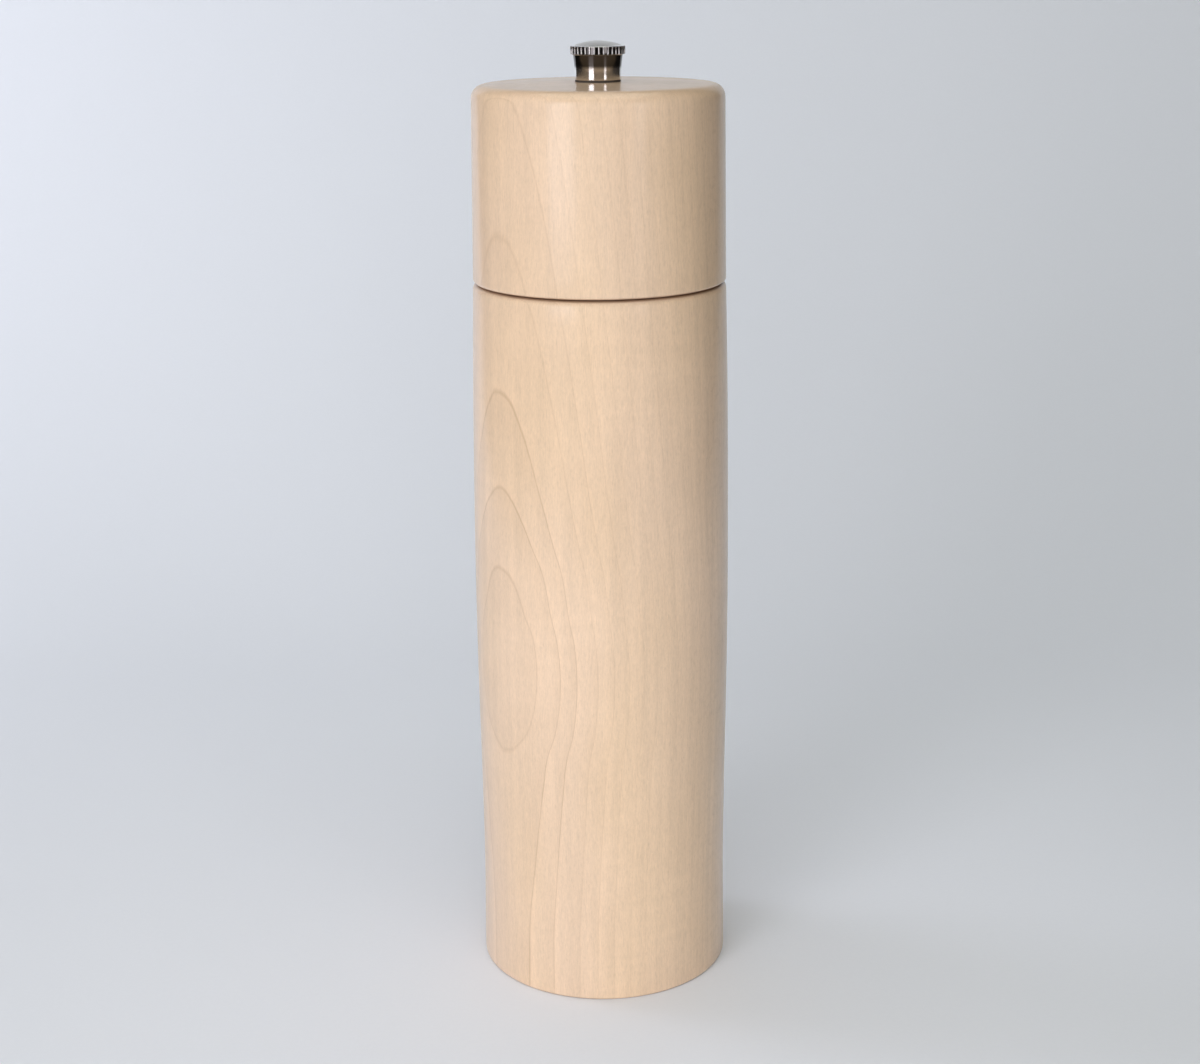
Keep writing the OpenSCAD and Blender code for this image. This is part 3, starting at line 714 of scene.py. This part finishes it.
PALE_MAPLE = (0.81, 0.597, 0.43, 1)
WARM_MAPLE = (0.80, 0.583, 0.398, 1)
MATERIALS = {
    "maple_body": lacquered_maple("maple_body", PALE_MAPLE, WARM_MAPLE),
    "maple_head": lacquered_maple("maple_head", PALE_MAPLE, WARM_MAPLE),
    "zinc_plated_steel": metal(
        "zinc_plated_steel", (0.62, 0.64, 0.66, 1), (0.50, 0.55, 0.62, 1), (0.4, 5, 5),
        stain_share=0.6, dullness=0.3),
    "bright_steel": metal(
        "bright_steel", (0.58, 0.58, 0.58, 1), (0.42, 0.41, 0.40, 1), (7, 1, 7), turned=1.0,
        dullness=0.26),
    "spring_steel": metal(
        "spring_steel", (0.34, 0.34, 0.35, 1), (0.2, 0.19, 0.19, 1), (5, 1, 5), turned=1.0,
        dullness=0.3),
    "hardened_steel": metal(
        "hardened_steel", (0.17, 0.17, 0.18, 1), (0.10, 0.095, 0.09, 1), (2.5, 2.5, 2.5),
        stain_share=0.7, dullness=0.36, mark_depth=0.2, edge_shine=0.35, relief=0.03 * MM),
    "aluminium_bar": metal(
        "aluminium_bar", (0.72, 0.73, 0.74, 1), (0.6, 0.61, 0.62, 1), (6, 6, 0.12),
        dullness=0.32, mark_depth=0.2),
    "nylon": moulded_nylon(),
    "fibre": pressed_fibre(),
    "chrome_nut": polished_chrome(),
    "brass_insert": metal(
        "brass_insert", (0.72, 0.50, 0.22, 1), (0.5, 0.33, 0.14, 1), (7, 1, 7), turned=1.0,
        dullness=0.24),
}


def dress(thing, slot):
    """Gives a piece or a CAD node the finish of a material slot."""
    thing.data.materials.clear()
    thing.data.materials.append(MATERIALS[slot])


# ---- Camera, lights and stage ----

def place_camera():
    """Half a metre in front of the mill and a little above its nut, looking down at its middle."""
    data = bpy.data.cameras.new("camera")
    data.sensor_width = 36
    data.lens = 59.62
    data.clip_start = 0.01
    camera = bpy.data.objects.new("camera", data)
    camera.matrix_world = (Matrix.Translation((-0.0004, -0.5137, 0.2728))
                           @ Matrix.Rotation(math.radians(90 - 16.37), 4, "X")
                           @ Matrix.Rotation(math.radians(-0.457), 4, "Z"))
    bpy.context.scene.collection.objects.link(camera)
    bpy.context.scene.camera = camera


def soft_light(name, azimuth, distance, height, width, tall, power, colour, aim,
               mirrored=True, spread=180):
    """A softbox at an angle in degrees round the mill, where 0 is the camera's side and 90 its right.
    One that isn't mirrored lights the mill but doesn't show in gloss or polished metal, and a spread
    under 180 degrees narrows its beam, as a honeycomb grid does."""
    data = bpy.data.lights.new(name, "AREA")
    data.shape = "RECTANGLE"
    data.size = width
    data.size_y = tall
    data.energy = power
    data.color = colour
    data.spread = math.radians(spread)
    light = bpy.data.objects.new(name, data)
    turn = math.radians(azimuth)
    place = Vector((math.sin(turn) * distance, -math.cos(turn) * distance, height))
    away = place - Vector(aim)
    light.matrix_world = Matrix.Translation(place) @ away.to_track_quat("Z", "Y").to_matrix().to_4x4()
    light.visible_glossy = mirrored
    light.visible_camera = False
    bpy.context.scene.collection.objects.link(light)


def paper():
    """Matt pale paper for the table and its sweep. It can't be seen from below, from behind or far away,
    and a hole in it, which the mill stands over, lets light reach the mill's foot from below."""
    material, tree, shader, where = start_material("studio_paper", Roughness=0.9, Specular_IOR_Level=0.2)
    fade_start = 0.9
    fade_end = 1.35
    hole_r = FOOT_R - 0.9 * MM
    fibre = noise(tree, where["Object"], (900, 900, 900), detail=3)
    tree.links.new(tint(tree, fibre, (0.79, 0.81, 0.87, 1), (0.815, 0.835, 0.89, 1)),
                   shader.inputs["Base Color"])
    clear = add(tree, "BsdfTransparent")
    distance = add(tree, "VectorMath", {0: where["Object"]}, operation="LENGTH").outputs["Value"]
    behind = add(tree, "NewGeometry").outputs["Backfacing"]
    unseen = calc(tree, "MAXIMUM", behind, ramp(tree, distance, fade_start, fade_end))
    unseen = calc(tree, "MAXIMUM", unseen, calc(tree, "LESS_THAN", distance, hole_r))
    mix = add(tree, "MixShader", {0: unseen, 1: shader.outputs[0], 2: clear.outputs[0]})
    output = next(n for n in tree.nodes if n.type == "OUTPUT_MATERIAL")
    tree.links.new(mix.outputs[0], output.inputs["Surface"])
    return material


def paper_sweep(name, half_width, front, level, material):
    """A sheet of paper that lies flat, then curves up behind the mill."""
    bend_r = 0.5
    wall_y = 0.72
    wall_top = 2.2
    bm = bmesh.new()
    corners = [bm.verts.new((-half_width, y, z)) for y, z in
               ((front, level), (wall_y, level), (wall_y, wall_top))]
    for pair in zip(corners, corners[1:]):
        bm.edges.new(pair)
    bmesh.ops.bevel(bm, geom=[corners[1]], offset=bend_r, offset_type="OFFSET", affect="VERTICES",
                    segments=32, profile=0.5, material=-1)
    across = bmesh.ops.extrude_edge_only(bm, edges=bm.edges[:])["geom"]
    bmesh.ops.translate(bm, verts=[v for v in across if isinstance(v, bmesh.types.BMVert)],
                        vec=(2 * half_width, 0, 0))
    bmesh.ops.recalc_face_normals(bm, faces=bm.faces)
    if sum(f.normal.z for f in bm.faces) < 0:
        bmesh.ops.reverse_faces(bm, faces=bm.faces)
    for face in bm.faces:
        face.smooth = True
    mesh = bpy.data.meshes.new(name)
    bm.to_mesh(mesh)
    bm.free()
    mesh.materials.append(material)
    made = bpy.data.objects.new(name, mesh)
    bpy.context.scene.collection.objects.link(made)
    return made


def light_room():
    """The air beyond the paper, which is pale to the camera and dark to the lighting and to gloss."""
    world = bpy.data.worlds.new("studio")
    bpy.context.scene.world = world
    world.use_nodes = True
    tree = world.node_tree
    air = next(n for n in tree.nodes if n.type == "BACKGROUND")
    rays = add(tree, "LightPath").outputs
    dark = tint(tree, rays["Is Glossy Ray"], (0.02, 0.02, 0.022, 1), (0.035, 0.03, 0.028, 1))
    tree.links.new(tint(tree, rays["Is Camera Ray"], dark, (0.62, 0.65, 0.70, 1)), air.inputs["Color"])
    bpy.context.scene.view_settings.view_transform = "Standard"


place_camera()
PAPER = paper()
paper_sweep("paper_sheet", 0.55, -0.46, 0.0, PAPER)
paper_sweep("studio_floor", 3.5, -3.5, -0.0003, PAPER).visible_glossy = False
light_room()
soft_light("foot_light", 0, 0, -0.35, 0.5, 0.5, 1.5, (1.0, 1.0, 1.0), aim=(0, 0, 0))
soft_light("key_softbox", -33, 1.2, 0.42, 0.5, 0.7, 3.6, (0.96, 0.93, 1.0), aim=(0, 0, 0.42))
soft_light("front_wash", -25, 1.4, 0.85, 1.3, 1.3, 1.8, (0.65, 0.7, 1.0), aim=(0, 0, 0.2),
           mirrored=False)
soft_light("table_wash", -15, 1.0, 0.32, 1.0, 0.5, 5.0, (0.98, 1.0, 0.93), aim=(0, 0, 0.05),
           mirrored=False)
soft_light("table_grid", 12, 0.5, 0.5, 0.3, 0.3, 0.05, (1.0, 0.98, 1.0), aim=(0.04, -0.12, 0),
           mirrored=False, spread=45)
soft_light("side_softbox", 36, 1.4, 0.42, 0.26, 0.6, 1.15, (1.0, 0.96, 1.0), aim=(0, 0, 0.42))
soft_light("ceiling_softbox", 0, 0.1, 1.8, 1.6, 1.6, 13.2, (0.98, 1.0, 0.89), aim=(0, 0.1, 0))
soft_light("sweep_wash", -112, 0.8, 0.55, 0.4, 0.4, 2.1, (0.86, 0.88, 1.0), aim=(0, 0.55, 0.1),
           mirrored=False)


# ---- The mill ----

slots = {row["node"]: row["material_slot"] for row in frame["record"]["subparts"]}
for name, thing in frame["nodes"].items():
    dress(thing, slots[name])

for made, body, replaced in ((turned_body(), "body", "body_shell"), (turned_head(), "head", "head_shell"),
                             (chrome_nut(), "nut", "adjusting_nut"), (threaded_shaft(), "drive", "shaft")):
    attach(made, body)
    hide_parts(replaced)
    dress(made, slots[replaced])

spring = wound_spring()
dress(spring, slots["spring"])
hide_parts("spring")
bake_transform(spring)
